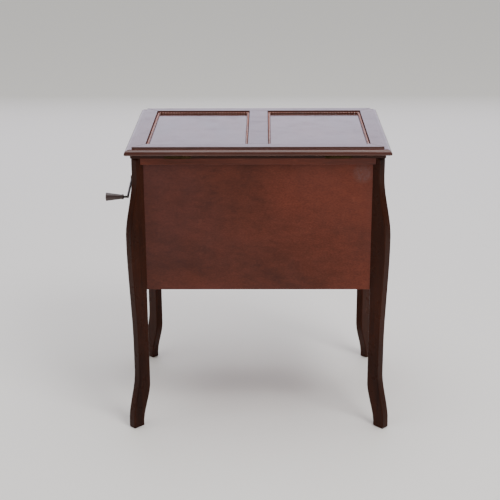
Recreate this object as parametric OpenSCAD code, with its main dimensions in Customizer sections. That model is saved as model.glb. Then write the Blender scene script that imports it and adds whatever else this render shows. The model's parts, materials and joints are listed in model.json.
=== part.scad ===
// Console cabinet on four diagonal plank legs.
// The left half of the case is a hand-wound record deck, the right half a storage well with a tray.
// +Z is up, the plain back faces -Y, the doors face +Y, and the crank comes out of the -X side.

/* [Cabinet] */
// Width over the lip of the lid
table_w = 600; // [500:1:720]
// Depth over the lip of the lid
table_d = 430; // [420:1:520]
// Height from the floor to the top of the lid
table_h = 690; // [660:1:830]
// Distance that the lip of the lid stands out from the case
lid_overhang = 25; // [25:1:28]
// Height of the lower edge of the case
case_lift = 345; // [290:1:350]
// Thickness of the back and side panels
panel_t = 9; // [7:0.5:11]
// Thickness of the inner boards
board_t = 12; // [10:0.5:14]
// Thickness of the rails across the front
front_rail_t = 18; // [14:1:20]
// Height of the rail above the doors
top_rail_h = 74; // [70:1:80]
// Height of the rail below the doors
bottom_rail_h = 20; // [18:1:30]

/* [Legs] */
// Thickness of a leg plank
leg_t = 21; // [17:1:24]
// How far the top of a leg stands out along its diagonal
leg_top_out = 18; // [16:0.5:20]
// How far the swell beside the case stands out
leg_swell = 41.5; // [30:0.5:50]
// How far the ankle stands out
leg_ankle = 31; // [26:0.5:38]
// How far the toe stands out
leg_toe = 52; // [44:0.5:60]
// How far the inner edge stands in below the case
leg_inset = 1; // [0:0.5:4]
// How far the heel stands out on the floor
leg_heel = 21.5; // [18:0.5:28]

/* [Lid] */
// Thickness of the lid
lid_t = 18; // [17:0.5:20]
// Width of the lid frame from the lip to a panel
lid_border = 45; // [38:1:52]
// Width of the bar between the two panels
muntin_w = 45; // [36:1:60]
// Depth from the top of the frame to a panel
recess = 7; // [5:0.5:8]
// Thickness of a lid panel
lid_panel_t = 4; // [3:0.5:5]
// Width of the beaded strip round a panel
bead_w = 7; // [5:0.5:8]
// Height of the beaded strip above a panel
bead_h = 4; // [3:0.5:5]
// Height of the cornice under the lid
cornice_h = 7.5; // [6:0.5:8]
// Distance that the cornice stands out from the case
cornice_out = 12.5; // [12:0.5:13]
// Height of the frieze strip under the cornice
frieze_h = 16; // [12:1:20]
// Distance that the frieze strip stands out from the case
frieze_out = 6; // [4:0.5:11]

/* [Deck] */
// Height from the deck to the underside of the lid
headroom = 64; // [62:0.5:68]
// Radius of the turntable
platter_r = 127; // [110:1:130]
// Radius of the spindle that a record drops over
spindle_r = 3.6; // [3.4:0.1:3.8]
// Height of the spindle above the felt
spindle_rise = 11.5; // [9:0.5:13]
// Outer radius of the sound box
sound_box_r = 19; // [16:0.5:20]
// Depth of the sliding tray from front to back
tray_d = 165; // [120:1:170]
// Height of the sliding tray
tray_h = 40; // [25:1:46]

/* [Crank] */
// Height of the winding shaft
crank_z = 562; // [560:1:570]
// Distance from the shaft to the grip, front to back
crank_throw = 105; // [80:1:120]
// How far the grip hangs below the shaft
crank_drop = 16; // [0:1:40]
// Radius of the bent rod
rod_r = 2.75; // [2.5:0.05:3.2]
// Gap between the side panel and the plane of the rod
crank_gap = 32; // [31:1:40]
// Length of the grip
grip_len = 42; // [36:0.5:60]
// Radius of the grip at its free end
grip_r = 10; // [8:0.5:12]
// Radius of the grip at its neck
grip_neck_r = 6.2; // [5:0.1:8]

/* [Fits] */
// Radial clearance of a shaft in its bore
run_fit = 0.05; // [0.02:0.01:0.08]
// Gap between parts that move past each other
part_gap = 0.5; // [0.4:0.1:0.8]
// Gap round a door
door_gap = 1; // [0.8:0.1:1.5]

/* [Hidden] */
$fn = 48;
mahogany = "#6b3527";
leg_brown = "#2e1a12";
lid_brown = "#5a3226";
pale_ply = "#a9825a";
brass = "#b08d57";
nickel = "#b9b6ae";
iron = "#44413e";
green_felt = "#3f5a3c";
grip_brown = "#4a3628";
cloth_gold = "#8a6f45";

// Case outline: the corners are cut at 45 degrees by the thickness of a leg.
case_x = table_w / 2 - lid_overhang;
case_y = table_d / 2 - lid_overhang;
chamfer = leg_t / sqrt(2);
leg_depth = sqrt(2) * panel_t;
flat_x = case_x - chamfer;
flat_y = case_y - chamfer;
inner_x = case_x - panel_t;
inner_y = case_y - panel_t;
lid_under = table_h - lid_t;
cornice_top = lid_under - part_gap;
case_top = cornice_top - cornice_h;
case_h = case_top - case_lift;
floor_top = case_lift + 3 + panel_t;
door_low = case_lift + bottom_rail_h;
door_high = case_top - top_rail_h;
front_in = case_y - front_rail_t;

// Legs
leg_steps = 24;
leg_round = 6;

// Lid edge moulding
lip_low = 2;
lip_thick = 3;
ovolo_w = 10;
ledge_w = 6.5;
quirk_h = 4.5;
panel_half_x = table_w / 2 - lid_border;
panel_half_y = table_d / 2 - lid_border;
panel_top = table_h - recess;

// Hinges
knuckle_r = 2.6;
hinge_pin_r = 1.25;
hinge_drop = knuckle_r + 0.4;
leaf_t = 1.2;
narrow_leaf_w = 1.9;
knuckle_gap = 0.4;
lid_hinge_len = 60;
lid_hinge_x = 180;
lid_axis_y = -(case_y + cornice_out + hinge_drop);
lid_axis_z = lid_under - hinge_drop;
door_hinge_len = 40;
door_t = 14;
door_panel_t = 6;
door_stile_w = 48;
door_axis_y = case_y + hinge_drop;
door_axis_x = flat_x + hinge_drop - hinge_drop * sqrt(2);
door_hinge_inset = 28;

// Lid stay: a quadrant about the hinge line that slides through an eye
stay_r = 115;
stay_w = 8;
stay_t = 2.5;
stay_x = -(inner_x - 8);
stay_end = 72;
stay_pin_angle = 70.5;
stay_pin_r = 1.6;
stay_pin_len = 5;
eye_h = 9;
eye_top = lid_under - 7;
deck_slot_w = 6;

// Deck and motor
deck_z = lid_under - headroom;
deck_low = deck_z - board_t;
turn_x = -(inner_x - platter_r - 24);
turn_y = front_in - platter_r - 10;
partition_x = turn_x + platter_r + 19;
platter_lift = 3;
platter_t = 10;
felt_t = 1.5;
felt_top = deck_z + platter_lift + platter_t + felt_t;
shaft_r = 4;
bedplate_t = 3;
motor_plate_t = 3;
gear_x = -(inner_x - 60);
wheel_r = 14;
motor_plate_x = [gear_x + 18, turn_x - wheel_r - 7];
motor_plate_half_y = 45;
motor_plate_low = 460;
arbor_r = 5;
barrel_r = 37;
tooth_module = 3;
pinion_teeth = 12;
gear_teeth = 24;
gear_w = 12;
gear_centres = tooth_module * (pinion_teeth + gear_teeth) / 2 + 0.5;
arbor_z = crank_z - gear_centres;
wheel_z = deck_low - 25;
governor_x = turn_x + 22;
governor_r = 2;
worm_r = 7.5;

// Tonearm
arm_x = -(inner_x - 51);
arm_y = -(inner_y - 41);
arm_len = 185;
arm_z = deck_z + 41;
arm_pivot_r = 10;
arm_r = [10, 7];
box_t = 10;
box_gap = 14;
needle_rise = 1.8;
rest_x = arm_x + 120;

// Horn and grille
horn_wall = 3;
conduit_r = 16;
horn_back = 40;
horn_back_z = [400, 450];
mouth_z = [364, 454];
mouth_x = [-(inner_x - 16), partition_x - 13];
mouth_y = front_in - 22;
cloth_t = 1;
grille_t = 8;
grille_y = mouth_y + cloth_t;
slat_count = 12;
slat_w = 6;

// Right-hand side
well_z = 508;
tray_wall = 6;
tray_gap = 1.5;
runner_h = 12;
runner_w = 10;
tray_low = deck_low + part_gap;
tray_x0 = partition_x + board_t + tray_gap;
tray_x1 = inner_x - tray_gap;
tray_y1 = front_in - 7;
divider_t = 6;

// Crank
crank_y = 0;
crank_plane = case_x + crank_gap;
grip_start = crank_plane + 9.5;
crank_reach = grip_start + grip_len;
grip_y = crank_y - crank_throw;
grip_z = crank_z - crank_drop;
grip_pin_r = 2.5;
elbow_swell = 0.5;
bush_r = 8;
flange_r = 15;
flange_t = 2.5;
hub_r = 7;
hub_x = -(crank_plane - 3);

// The whole model stands with the middle of its outline on the origin.
leg_reach = case_x + leg_toe / sqrt(2);
frame_shift = (crank_reach - leg_reach) / 2;

module in_frame() {
    translate([frame_shift, 0, 0]) children();
}

// A smooth step from 0 to 1 as s goes from 0 to 1.
function ease(s) = let (c = min(1, max(0, s))) c * c * (3 - 2 * c);

// Level 0 is the floor, 1 the lower edge of the case and 2 its top.
function level_z(u) = u <= 1 ? u * case_lift : case_lift + (u - 1) * case_h;

function outer_edge(u) = leg_top_out
    + (leg_swell - leg_top_out) * ease((1.86 - u) / 0.44)
    + (leg_ankle - leg_swell) * ease((1.38 - u) / 0.80)
    + (leg_toe - leg_ankle) * ease((0.40 - u) / 0.35);

function inner_edge(u) = -leg_inset + (leg_heel + leg_inset) * ease((0.31 - u) / 0.29);

leg_top_level = 2 - leg_round / case_h;

// One plank leg, its outline in the plane of the diagonal
module leg(side_x, side_y) {
    outer = [for (i = [0:2 * leg_steps]) let (u = i * leg_top_level / (2 * leg_steps))
        [outer_edge(u), level_z(u)]];
    shoulder = [for (a = [15:15:90])
        [leg_top_out - leg_round * (1 - cos(a)), case_top - leg_round * (1 - sin(a))]];
    inner = [for (i = [leg_steps:-1:0]) let (u = i / leg_steps) [inner_edge(u), level_z(u)]];
    outline = concat(outer, shoulder, [[-leg_depth, case_top], [-leg_depth, case_lift]], inner);
    color(leg_brown) in_frame()
        translate([side_x * (case_x - chamfer / 2), side_y * (case_y - chamfer / 2), 0])
            rotate([0, 0, atan2(side_y, side_x)])
                rotate([90, 0, 0])
                    translate([0, 0, -leg_t / 2])
                        linear_extrude(leg_t) polygon(outline);
}

module leg_back_left() { leg(-1, -1); }
module leg_back_right() { leg(1, -1); }
module leg_front_left() { leg(-1, 1); }
module leg_front_right() { leg(1, 1); }

// A board along one side of the case, its ends at 45 degrees against the legs.
// side 0 is the back, 1 the right, 2 the front and 3 the left; offsets count outwards from the face.
module wall_strip(side, outer, inner, low, high) {
    half = side % 2 == 0 ? flat_x : flat_y;
    away = side % 2 == 0 ? case_y : case_x;
    rotate([0, 0, 90 * side])
        translate([0, -away, low])
            linear_extrude(high - low)
                polygon([[-half - outer, -outer], [half + outer, -outer],
                    [half + inner, -inner], [-half - inner, -inner]]);
}

// A level board inside the case, cut at the corners for the legs
module inside_board(x0, x1, y1, low, high) {
    intersection() {
        translate([0, 0, low])
            linear_extrude(high - low)
                polygon([[-inner_x, -inner_y + chamfer], [-inner_x + chamfer, -inner_y],
                    [inner_x - chamfer, -inner_y], [inner_x, -inner_y + chamfer],
                    [inner_x, inner_y - chamfer], [inner_x - chamfer, inner_y],
                    [-inner_x + chamfer, inner_y], [-inner_x, inner_y - chamfer]]);
        translate([x0, -inner_y, low]) cube([x1 - x0, inner_y + y1, high - low]);
    }
}

module along_x(x, y, z) {
    translate([x, y, z]) rotate([0, 90, 0]) children();
}

module back_panel() {
    color(mahogany) in_frame() wall_strip(0, 0, -panel_t, case_lift, case_top);
}

module side_panel_left() {
    color(mahogany) in_frame() difference() {
        wall_strip(3, 0, -panel_t, case_lift, case_top);
        along_x(-case_x - 1, crank_y, crank_z) cylinder(r = bush_r, h = panel_t + 2);
    }
}

module side_panel_right() {
    color(mahogany) in_frame() wall_strip(1, 0, -panel_t, case_lift, case_top);
}

module front_top_rail() {
    color(mahogany) in_frame() wall_strip(2, 0, -front_rail_t, door_high, case_top);
}

module front_bottom_rail() {
    color(mahogany) in_frame() wall_strip(2, 0, -front_rail_t, case_lift, door_low);
}

module case_floor() {
    color(pale_ply) in_frame()
        inside_board(-inner_x, inner_x, front_in, floor_top - panel_t, floor_top);
}

module centre_partition() {
    color(mahogany) in_frame()
        translate([partition_x, -inner_y, floor_top])
            cube([board_t, inner_y + front_in, case_top - floor_top]);
}

module frieze_moulding() {
    color(mahogany) in_frame()
        for (side = [0:3]) wall_strip(side, frieze_out, 0, case_top - frieze_h, case_top);
}

// Cornice: four boards mitred at the corners
module cornice_frame() {
    half_x = case_x + cornice_out;
    half_y = case_y + cornice_out;
    width = cornice_out + panel_t;
    color(leg_brown) in_frame() for (side = [0:3])
        intersection() {
            translate([-half_x, -half_y, case_top]) cube([2 * half_x, 2 * half_y, cornice_h]);
            mitre_prism(side, half_x, half_y, width, case_top, cornice_top);
        }
}

// The part of a frame that belongs to one side, with 45 degree mitres
module mitre_prism(side, half_x, half_y, width, low, high) {
    half = side % 2 == 0 ? half_x : half_y;
    away = side % 2 == 0 ? half_y : half_x;
    rotate([0, 0, 90 * side])
        translate([0, -away, low])
            linear_extrude(high - low)
                polygon([[-half, 0], [half, 0], [half - width, width], [-half + width, width]]);
}

// Lid edge: lip, ovolo, ledge and quirk, as distance in from the lip against height
function ovolo(half, sign) = [for (a = [0:15:90])
    [sign * (half - ovolo_w * (1 - cos(a))),
        lid_under + lip_low + lip_thick
            + (lid_t - quirk_h - lip_low - lip_thick) * sin(a)]];

function lid_side(half, sign) = concat(
    [[sign * (half - 4), lid_under], [sign * half, lid_under + lip_low]],
    ovolo(half, sign),
    [[sign * (half - ovolo_w - ledge_w), table_h - quirk_h],
        [sign * (half - ovolo_w - ledge_w), table_h]]);

function flipped(points) = [for (i = [len(points) - 1:-1:0]) points[i]];

module lid_slab() {
    half_x = table_w / 2;
    half_y = table_d / 2;
    intersection() {
        rotate([90, 0, 0])
            translate([0, 0, -half_y - 1])
                linear_extrude(2 * half_y + 2)
                    polygon(concat(lid_side(half_x, 1), flipped(lid_side(half_x, -1))));
        rotate([90, 0, 90])
            translate([0, 0, -half_x - 1])
                linear_extrude(2 * half_x + 2)
                    polygon(concat(lid_side(half_y, 1), flipped(lid_side(half_y, -1))));
    }
}

// The members on two opposite sides of the lid
module lid_members(sides) {
    color(lid_brown) in_frame() for (side = sides)
        intersection() {
            lid_slab();
            mitre_prism(side, table_w / 2, table_d / 2, lid_border, lid_under - 1, table_h + 1);
        }
}

module lid_rails() { lid_members([0, 2]); }
module lid_stiles() { lid_members([1, 3]); }

module lid_muntin() {
    color(lid_brown) in_frame()
        translate([-muntin_w / 2, -panel_half_y, lid_under])
            cube([muntin_w, 2 * panel_half_y, lid_t]);
}

panel_w = panel_half_x - muntin_w / 2;

module lid_panels() {
    color(lid_brown) in_frame() for (x = [muntin_w / 2, -panel_half_x])
        translate([x, -panel_half_y, panel_top - lid_panel_t])
            cube([panel_w, 2 * panel_half_y, lid_panel_t]);
}

// A strip round each panel, against the edge of the frame
module lid_beading() {
    color(lid_brown) in_frame() for (x = [muntin_w / 2, -panel_half_x])
        translate([x, -panel_half_y, panel_top]) difference() {
            cube([panel_w, 2 * panel_half_y, bead_h]);
            translate([bead_w, bead_w, -1])
                cube([panel_w - 2 * bead_w, 2 * panel_half_y - 2 * bead_w, bead_h + 2]);
        }
}

// Half of a butt hinge. The axis is +Z, the wood lies at y = -hinge_drop and the leaf runs to +X.
module hinge_leaf(length, spans, leaf_w, pinned) {
    difference() {
        union() {
            for (span = spans) translate([0, 0, span[0]]) {
                cylinder(r = knuckle_r, h = span[1] - span[0], $fn = 32);
                translate([0, -hinge_drop, 0]) cube([knuckle_r + 0.6, leaf_t, span[1] - span[0]]);
            }
            translate([knuckle_r + 0.5, -hinge_drop, 0]) cube([leaf_w, leaf_t, length]);
        }
        if (!pinned) translate([0, 0, -1]) cylinder(r = hinge_pin_r + run_fit, h = length + 2);
    }
    if (pinned) cylinder(r = hinge_pin_r, h = length);
}

function middle_span(length) = [[length / 3 + knuckle_gap, 2 * length / 3 - knuckle_gap]];
function end_spans(length) = [[0, length / 3], [2 * length / 3, length]];

// Places a hinge of the lid, its axis along +X
module at_lid_hinges() {
    for (x = [-lid_hinge_x, lid_hinge_x])
        along_x(x - lid_hinge_len / 2, lid_axis_y, lid_axis_z) children();
}

// Leaves under the overhang of the lid
module lid_hinge_leaves() {
    color(brass) in_frame() at_lid_hinges() rotate([0, 0, -90])
        hinge_leaf(lid_hinge_len, middle_span(lid_hinge_len), narrow_leaf_w, false);
}

// Leaves on the back edge of the cornice
module case_hinge_leaves() {
    color(brass) in_frame() at_lid_hinges() mirror([0, 1, 0])
        hinge_leaf(lid_hinge_len, end_spans(lid_hinge_len), narrow_leaf_w, true);
}

// Quadrant arm under the lid, with a stop pin near its free end
module lid_stay() {
    color(brass) in_frame() {
        along_x(stay_x - stay_t / 2, lid_axis_y, lid_axis_z) rotate([0, 0, 90 - stay_end])
            rotate_extrude(angle = stay_end, $fn = 96)
                translate([stay_r - stay_w / 2, 0]) square([stay_w, stay_t]);
        along_x(stay_x - stay_pin_len / 2, lid_axis_y + stay_r * cos(stay_pin_angle),
            lid_axis_z - stay_r * sin(stay_pin_angle)) cylinder(r = stay_pin_r, h = stay_pin_len);
        translate([stay_x - 6, lid_axis_y + stay_r - 10, lid_axis_z]) cube([12, 20, hinge_drop]);
    }
}

// Eye on the side panel that the quadrant slides through
module stay_guide() {
    near = sqrt(pow(stay_r - stay_w / 2, 2) - pow(lid_axis_z - eye_top + eye_h, 2));
    far = sqrt(pow(stay_r + stay_w / 2, 2) - pow(lid_axis_z - eye_top, 2));
    slot_x = stay_t / 2 + 0.6;
    color(brass) in_frame() difference() {
        translate([-inner_x, lid_axis_y + near - 5, eye_top - eye_h])
            cube([stay_x + inner_x + 5, far - near + 10, eye_h]);
        translate([stay_x - slot_x, lid_axis_y + near - 1, eye_top - eye_h - 1])
            cube([2 * slot_x, far - near + 2, eye_h + 2]);
    }
}

// Doors. Everything is drawn for the right door and mirrored for the left.
module door_side(side_x) {
    in_frame() if (side_x > 0) children();
    else mirror([1, 0, 0]) children();
}

door_z0 = door_low + door_gap;
door_z1 = door_high - door_gap;
door_edge = flat_x - door_gap * sqrt(2);
door_panel_x = [door_gap / 2 + door_stile_w, door_edge - door_stile_w - door_t];
door_panel_z = [door_z0 + door_stile_w, door_z1 - door_stile_w];

module door_frame(side_x) {
    color(mahogany) door_side(side_x) difference() {
        translate([0, 0, door_z0])
            linear_extrude(door_z1 - door_z0)
                polygon([[door_gap / 2, case_y], [door_edge, case_y],
                    [door_edge - door_t, case_y - door_t], [door_gap / 2, case_y - door_t]]);
        translate([door_panel_x[0], case_y - door_t - 1, door_panel_z[0]])
            cube([door_panel_x[1] - door_panel_x[0], door_t + 2, door_panel_z[1] - door_panel_z[0]]);
    }
}

module door_panel(side_x) {
    color(mahogany) door_side(side_x)
        translate([door_panel_x[0], case_y - (door_t + door_panel_t) / 2, door_panel_z[0]])
            cube([door_panel_x[1] - door_panel_x[0], door_panel_t, door_panel_z[1] - door_panel_z[0]]);
}

module door_knob(side_x) {
    color(brass) door_side(side_x)
        translate([door_stile_w / 2, case_y, (door_z0 + door_z1) / 2]) rotate([-90, 0, 0])
            rotate_extrude() polygon([[0, 0], [7, 0], [7, 1.5], [3, 2.5], [3, 8], [6.5, 10],
                [8.5, 13], [8, 16], [5, 18.5], [0, 19.5]]);
}

module at_door_hinges() {
    for (z = [door_z0 + door_hinge_inset, door_z1 - door_hinge_inset - door_hinge_len])
        translate([door_axis_x, door_axis_y, z]) children();
}

module door_leaves(side_x) {
    color(brass) door_side(side_x) at_door_hinges() mirror([1, 0, 0])
        hinge_leaf(door_hinge_len, middle_span(door_hinge_len), 12, false);
}

module door_left_frame() { door_frame(-1); }
module door_left_panel() { door_panel(-1); }
module door_left_knob() { door_knob(-1); }
module door_left_leaves() { door_leaves(-1); }
module door_right_frame() { door_frame(1); }
module door_right_panel() { door_panel(1); }
module door_right_knob() { door_knob(1); }
module door_right_leaves() { door_leaves(1); }

// The door hinges' other halves, on the flat sides of the front legs
module post_hinge_leaves() {
    color(brass) for (side_x = [-1, 1])
        door_side(side_x) at_door_hinges() rotate([0, 0, 45])
            hinge_leaf(door_hinge_len, end_spans(door_hinge_len), 8, true);
}

screw_places = [for (x = [-inner_x + 30, turn_x, partition_x - 12], y = [-inner_y + 10, front_in - 6])
    [x, y]];
screw_r = 1.8;

// Board that carries the turntable, the tonearm and the motor
module deck_board() {
    slot_near = lid_axis_y + sqrt(pow(stay_r - stay_w / 2, 2) - pow(lid_axis_z - deck_low, 2)) - 3;
    slot_far = lid_axis_y + sqrt(pow(stay_r + stay_w / 2, 2) - pow(lid_axis_z - deck_z, 2)) + 3;
    color(mahogany) in_frame() difference() {
        inside_board(-inner_x, partition_x, front_in, deck_low, deck_z);
        translate([turn_x, turn_y, deck_low - 1]) cylinder(r = 10, h = board_t + 2);
        translate([arm_x, arm_y, deck_low - 1]) cylinder(r = conduit_r - horn_wall, h = board_t + 2);
        translate([stay_x - deck_slot_w / 2, slot_near, deck_low - 1])
            cube([deck_slot_w, slot_far - slot_near, board_t + 2]);
        for (p = screw_places) translate([p[0], p[1], deck_low - 1]) cylinder(r = screw_r, h = board_t + 2);
    }
}

module deck_screws() {
    color(nickel) in_frame() for (p = screw_places) translate([p[0], p[1], deck_low]) {
        cylinder(r = screw_r, h = board_t);
        translate([0, 0, board_t]) difference() {
            cylinder(r = 4, h = 2);
            translate([-5, -0.5, 1.2]) cube([10, 1, 2]);
        }
    }
}

module turntable_platter() {
    color(nickel) in_frame()
        translate([turn_x, turn_y, deck_z + platter_lift])
            rotate_extrude($fn = 128)
                polygon([[shaft_r, 0], [24, 0], [24, 4], [platter_r - 6, 6], [platter_r - 6, 0],
                    [platter_r - 1.5, 0], [platter_r, 2], [platter_r, platter_t - 1.5],
                    [platter_r - 1.5, platter_t], [shaft_r, platter_t]]);
}

module turntable_felt() {
    color(green_felt) in_frame()
        translate([turn_x, turn_y, felt_top - felt_t])
            rotate_extrude($fn = 128) translate([shaft_r, 0]) square([platter_r - 4 - shaft_r, felt_t]);
}

// Shaft, worm wheel and the pin that a record drops over
module turntable_spindle() {
    color(nickel) in_frame() translate([turn_x, turn_y, 0]) {
        translate([0, 0, wheel_z - 6]) cylinder(r = shaft_r, h = felt_top - wheel_z + 6);
        translate([0, 0, felt_top]) cylinder(r = spindle_r, h = spindle_rise);
        translate([0, 0, wheel_z - 5]) cylinder(r = wheel_r, h = 10);
    }
}

governor_y = [turn_y - 32, turn_y + 62];

// Bedplate under the deck, two upright plates for the shafts and two brackets for the governor
module motor_frame() {
    plate_low = deck_low - bedplate_t;
    plate_y1 = governor_y[1] + 8;
    color(iron) in_frame() {
        difference() {
            translate([motor_plate_x[0], -motor_plate_half_y, plate_low])
                cube([governor_x + 35 - motor_plate_x[0], motor_plate_half_y + plate_y1, bedplate_t]);
            translate([turn_x, turn_y, plate_low - 1]) cylinder(r = shaft_r + run_fit, h = bedplate_t + 2);
        }
        for (x = motor_plate_x) difference() {
            translate([x, -motor_plate_half_y, motor_plate_low])
                cube([motor_plate_t, 2 * motor_plate_half_y, plate_low - motor_plate_low]);
            along_x(x - 1, crank_y, crank_z) cylinder(r = shaft_r + run_fit, h = motor_plate_t + 2);
            along_x(x - 1, crank_y, arbor_z) cylinder(r = arbor_r + run_fit, h = motor_plate_t + 2);
        }
        for (y = governor_y) difference() {
            translate([governor_x - 5, y, wheel_z - 6]) cube([10, 4, plate_low - wheel_z + 6]);
            translate([governor_x, y - 1, wheel_z]) rotate([-90, 0, 0])
                cylinder(r = governor_r + run_fit, h = 6);
        }
    }
}

// A spur gear with straight-sided teeth and room between them
module spur_gear(teeth, width, bore) {
    pitch_r = tooth_module * teeth / 2;
    root_r = pitch_r - 1.2 * tooth_module;
    tip_r = pitch_r + 0.75 * tooth_module;
    pitch = 360 / teeth;
    outline = [for (i = [0:teeth - 1], k = [[root_r, -0.25], [tip_r, -0.09], [tip_r, 0.09], [root_r, 0.25]])
        [k[0] * cos((i + k[1]) * pitch), k[0] * sin((i + k[1]) * pitch)]];
    linear_extrude(width) difference() {
        polygon(outline);
        circle(r = bore);
    }
}

// A tooth of the pinion points straight down at rest, into a gap of the gear.
module winding_gear() {
    color(brass) in_frame() {
        along_x(gear_x, crank_y, arbor_z) rotate([0, 0, 180 / gear_teeth])
            spur_gear(gear_teeth, gear_w, arbor_r);
        along_x(gear_x - 2, crank_y, arbor_z) cylinder(r = arbor_r, h = motor_plate_x[1] + 8 - gear_x);
    }
}

module spring_barrel() {
    low = motor_plate_x[0] + motor_plate_t + 3;
    high = motor_plate_x[1] - 3;
    color(nickel) in_frame() along_x(low, crank_y, arbor_z)
        rotate_extrude($fn = 96)
            polygon([[arbor_r, 0], [barrel_r, 0], [barrel_r, 2], [barrel_r - 1.5, 3],
                [barrel_r - 1.5, high - low - 3], [barrel_r, high - low - 2], [barrel_r, high - low],
                [arbor_r, high - low]]);
}

// Worm shaft with three weights and a friction disc
module governor() {
    color(brass) in_frame() translate([governor_x, governor_y[0] - 2, wheel_z]) rotate([-90, 0, 0]) {
        cylinder(r = governor_r, h = governor_y[1] - governor_y[0] + 8);
        translate([0, 0, 22]) cylinder(r = worm_r, h = 24);
        translate([0, 0, 56]) cylinder(r = 12, h = 2);
        for (a = [0, 120, 240]) rotate([0, 0, a]) {
            translate([11, 0, 74]) sphere(r = 4.5);
            translate([0, -1.5, 73.5]) cube([11, 3, 1]);
        }
    }
}

module winding_shaft() {
    color(nickel) in_frame() {
        along_x(hub_x, crank_y, crank_z)
            cylinder(r = shaft_r, h = motor_plate_x[0] + motor_plate_t + 4 - hub_x);
        along_x(gear_x, crank_y, crank_z) spur_gear(pinion_teeth, gear_w, shaft_r);
    }
}

// Socket on the shaft and the bent rod that ends in the grip's pin
module crank_rod() {
    throw_len = sqrt(crank_throw * crank_throw + crank_drop * crank_drop);
    color(iron) in_frame() {
        along_x(-crank_plane - rod_r, crank_y, crank_z) cylinder(r = hub_r, h = 3 + rod_r);
        translate([-crank_plane, crank_y, crank_z])
            rotate([90 + atan2(crank_drop, crank_throw), 0, 0]) cylinder(r = rod_r, h = throw_len);
        translate([-crank_plane, grip_y, grip_z]) sphere(r = rod_r + elbow_swell);
        along_x(-grip_start + part_gap, grip_y, grip_z)
            cylinder(r = rod_r, h = grip_start - crank_plane - part_gap);
        along_x(-crank_reach + 8, grip_y, grip_z) cylinder(r = grip_pin_r, h = crank_reach - grip_start - 6);
    }
}

// Turned grip: a neck ring, a taper that widens towards the free end, and a flat end with a soft edge
module crank_grip() {
    bore_r = grip_pin_r + run_fit;
    bore_end = grip_len - 7.5;
    color(grip_brown) in_frame() along_x(-grip_start, grip_y, grip_z) mirror([0, 0, 1])
        rotate_extrude($fn = 64)
            polygon(concat([[bore_r, bore_end], [bore_r, 0], [4.2, 0], [grip_neck_r, 1.5], [grip_neck_r, 4],
                    [grip_neck_r - 0.8, 5]],
                [for (a = [0:30:90]) [grip_r - 1.5 + 1.5 * cos(a), grip_len - 1.5 + 1.5 * sin(a)]],
                [[0, grip_len], [0, bore_end]]));
}

module crank_escutcheon() {
    color(brass) in_frame() difference() {
        union() {
            along_x(-case_x - flange_t, crank_y, crank_z) cylinder(r = flange_r, h = flange_t);
            along_x(-case_x, crank_y, crank_z) cylinder(r = bush_r, h = panel_t);
        }
        along_x(-case_x - 10, crank_y, crank_z) cylinder(r = shaft_r + run_fit, h = panel_t + 20);
    }
}

module tonearm_base() {
    color(nickel) in_frame() translate([arm_x, arm_y, deck_z])
        rotate_extrude($fn = 64)
            polygon([[arm_pivot_r + run_fit, 0], [23, 0], [23, 2], [20, 4], [16, 5], [14.5, 9],
                [14, 22], [arm_pivot_r + run_fit, 22]]);
}

function arm_radius(x) = arm_r[0] + (arm_r[1] - arm_r[0]) * x / arm_len;

// Hollow upright, elbow, tapered tube and the neck that carries the sound box
module tonearm() {
    color(nickel) in_frame() translate([arm_x, arm_y, 0]) difference() {
        union() {
            translate([0, 0, deck_z + 1]) cylinder(r = arm_pivot_r, h = arm_z - deck_z - 1);
            translate([0, 0, arm_z]) sphere(r = arm_r[0]);
            along_x(0, 0, arm_z) cylinder(r1 = arm_r[0], r2 = arm_r[1], h = arm_len, $fn = 64);
            translate([arm_len, 0, arm_z]) sphere(r = arm_r[1]);
            translate([arm_len, 0, arm_z]) rotate([90, 0, 0]) cylinder(r = 5, h = box_gap - part_gap);
        }
        translate([0, 0, deck_z]) cylinder(r = arm_pivot_r - 2.5, h = arm_z - deck_z - 4);
    }
}

module arm_rest() {
    under = arm_z - arm_radius(rest_x - arm_x) - 1;
    color(nickel) in_frame() translate([rest_x, arm_y, 0]) {
        translate([0, 0, deck_z]) cylinder(r = 8, h = 2);
        translate([0, 0, deck_z + 2]) cylinder(r = 3, h = under - deck_z - 4);
        translate([-4, -14, under - 2]) cube([8, 22, 2]);
        translate([-4, -14, under]) cube([8, 2.5, 12]);
    }
}

// Round sound box on the neck, its axis along Y
module sound_box() {
    color(nickel) in_frame() translate([arm_x + arm_len, arm_y - box_gap, arm_z]) rotate([90, 0, 0])
        rotate_extrude($fn = 96)
            polygon([[0, 0], [sound_box_r - 2, 0], [sound_box_r, 2], [sound_box_r, box_t - 2],
                [sound_box_r - 2, box_t], [sound_box_r - 4, box_t], [sound_box_r - 5, box_t - 2.5],
                [4, box_t - 2], [3, box_t], [0, box_t]]);
}

module needle() {
    drop = arm_z - felt_top - needle_rise - sound_box_r + 1;
    color(nickel) in_frame() translate([arm_x + arm_len, arm_y - box_gap - box_t / 2, arm_z - sound_box_r]) {
        translate([0, 0, -2.2]) cylinder(r = 2.4, h = 2.2, $fn = 24);
        translate([0, 0, -drop + 1]) cylinder(r1 = 0.25, r2 = 0.8, h = drop - 3.2, $fn = 16);
    }
}

cup_places = [[partition_x - 23, arm_y + 65], [partition_x - 23, arm_y + 28]];

module needle_cups() {
    color(nickel) in_frame() for (p = cup_places) translate([p[0], p[1], deck_z])
        rotate_extrude($fn = 64)
            polygon([[0, 0], [12, 0], [15, 1], [15, 2], [13.5, 2.5], [13.5, 8], [12.3, 8], [11.5, 3],
                [9, 1.5], [0, 1.5]]);
}

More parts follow.
